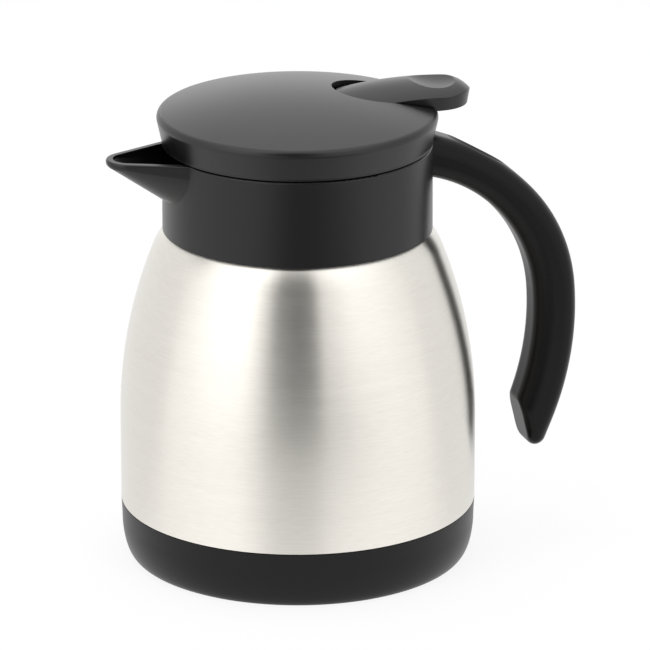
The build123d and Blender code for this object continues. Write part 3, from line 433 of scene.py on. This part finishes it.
WHITE = (1.0, 1.0, 1.0, 1.0)
AMBIENT = 0.55
FLOOR_SIZE = 40.0
FLOOR_GREY = 0.86
FLOOR_GLOW = 0.88
FLOOR_SHEEN = 0.22
SHEEN_EDGE = (-0.02, 0.05)
LANE_DARK = 0.75
LANE_START = (0.15, 0.25)
LANE_MIDDLE = 0.08
LANE_EDGE = (0.12, 0.34)
SURROUND_BASE = 1.02
GAP_DARK = 0.9
GAP_BEARING = (-20.5, 16.0, 6.0, 3.0)
GAP_RISE = (-30.0, 66.0, 5.0, 14.0)
LEFT_PANEL_LIGHT = 0.8
LEFT_PANEL_BEARING = (-80.0, -31.0, 30.0, 6.0)
RIGHT_PANEL_LIGHT = 0.4
RIGHT_PANEL_BEARING = (33.0, 80.0, 12.0, 30.0)
PANEL_RISE = (-20.0, 75.0, 10.0, 12.0)
OVERHEAD_LIGHT = 0.7
OVERHEAD_RISE = (30.0, 66.0)
BACKDROP_LIGHT = 0.3
BACKDROP_BEARING = (152.0, 168.0)


def ease(wire, low, high):
    """0 below one value, 1 above the other, smooth between."""
    limits = {"Value": wire, "From Min": low, "From Max": high}
    return Wire.node("MapRange", {"interpolation_type": "SMOOTHSTEP"}, limits)


def window(wire, low, high, low_edge, high_edge):
    """1 between two values and 0 outside, each side with its own smooth edge."""
    inside = ease(wire, low - low_edge, low + low_edge)
    return inside * (1 - ease(wire, high - high_edge, high + high_edge))


def reach(wire, direction):
    """How far a place or a direction goes along another direction."""
    return Wire.node("VectorMath", {"operation": "DOT_PRODUCT"}, {0: wire, 1: direction}, "Value")


def ray_kinds():
    """1 for the rays that shiny surfaces send out, and 1 for those that see the backdrop plainly."""
    camera_ray = Wire.node("LightPath", output="Is Camera Ray")
    clear_ray = Wire.node("LightPath", output="Is Transmission Ray")
    return Wire.node("LightPath", output="Is Glossy Ray"), camera_ray.math("MAXIMUM", clear_ray)


front = Vector((sin(turn), -cos(turn), 0.0))
bpy.ops.mesh.primitive_plane_add(size=FLOOR_SIZE)
floor = bpy.context.object
floor.name = "floor"
floor_paint = bpy.data.materials.new("floor_paint")
floor_paint.use_nodes = True
Wire.tree = floor_paint.node_tree
Wire.tree.nodes.remove(Wire.tree.nodes["Principled BSDF"])
spot = Wire.node("NewGeometry", output="Position")
forward = reach(spot, front)
across = reach(spot, right)
# As shiny surfaces see it, the floor is painted: a painted sheen brightens it from just in front of
# the carafe, and painted shade darkens a lane further out in front.
lane = ease(forward, *LANE_START) * (1 - ease((across - LANE_MIDDLE).math("ABSOLUTE"), *LANE_EDGE))
mirrored = (1 + ease(forward, *SHEEN_EDGE) * FLOOR_SHEEN) * (1 - lane * LANE_DARK)
glossy_ray, plain_ray = ray_kinds()
paint = Wire.node("BsdfDiffuse", None, {"Color": (FLOOR_GREY, FLOOR_GREY, FLOOR_GREY, 1.0)})
strength = glossy_ray * mirrored + (1 - glossy_ray)
glow = Wire.node("Emission", None, {"Color": WHITE, "Strength": strength})
seen = (plain_ray * FLOOR_GLOW + glossy_ray).math("MINIMUM", 1.0)
floor_mix = Wire.node("MixShader", None, {0: seen, 1: paint, 2: glow})
Wire.feed(Wire.tree.nodes["Material Output"].inputs["Surface"], floor_mix)
floor.data.materials.append(floor_paint)

world = bpy.data.worlds.new("surround")
bpy.context.scene.world = world
world.use_nodes = True
Wire.tree = world.node_tree
look = Wire.node("TexCoord", output="Generated")
bearing = reach(look, right).math("ARCTAN2", reach(look, front)) * degrees(1.0)
rise = Wire.node("SeparateXYZ", None, {0: look}, "Z").math("ARCSINE") * degrees(1.0)
gap = window(bearing, *GAP_BEARING) * window(rise, *GAP_RISE)
left_panel = window(bearing, *LEFT_PANEL_BEARING) * LEFT_PANEL_LIGHT
right_panel = window(bearing, *RIGHT_PANEL_BEARING) * RIGHT_PANEL_LIGHT
panels = (left_panel + right_panel) * window(rise, *PANEL_RISE)
overhead = ease(rise, *OVERHEAD_RISE) * OVERHEAD_LIGHT
backdrop = ease(bearing.math("ABSOLUTE"), *BACKDROP_BEARING) * BACKDROP_LIGHT
mirrored = (SURROUND_BASE + panels + overhead + backdrop) * (1 - gap * GAP_DARK)
glossy_ray, plain_ray = ray_kinds()
unmirrored = plain_ray * (1.0 - AMBIENT) + AMBIENT
strength = glossy_ray * mirrored + (1 - glossy_ray) * unmirrored
Wire.feed(Wire.tree.nodes["Background"].inputs["Strength"], strength)
Wire.feed(Wire.tree.nodes["Background"].inputs["Color"], WHITE)


def softbox(name, place, size, watts):
    """Rectangular soft lamp that faces the middle of the carafe and isn't mirrored in it."""
    lamp = bpy.data.lights.new(name, "AREA")
    lamp.shape = "RECTANGLE"
    lamp.size, lamp.size_y = size
    lamp.energy = watts
    holder = bpy.data.objects.new(name, lamp)
    holder.location = place
    holder.rotation_euler = (aim - Vector(place)).to_track_quat("-Z", "Y").to_euler()
    holder.visible_glossy = False
    bpy.context.scene.collection.objects.link(holder)


softbox("top_softbox", place=(0.0, 0.25, 1.4), size=(1.2, 1.2), watts=14.0)
softbox("left_softbox", place=(-1.35, -0.75, 0.75), size=(0.7, 1.3), watts=10.0)
softbox("right_softbox", place=(0.45, -1.5, 0.7), size=(0.35, 1.2), watts=6.0)

bpy.context.scene.view_settings.view_transform = "Standard"
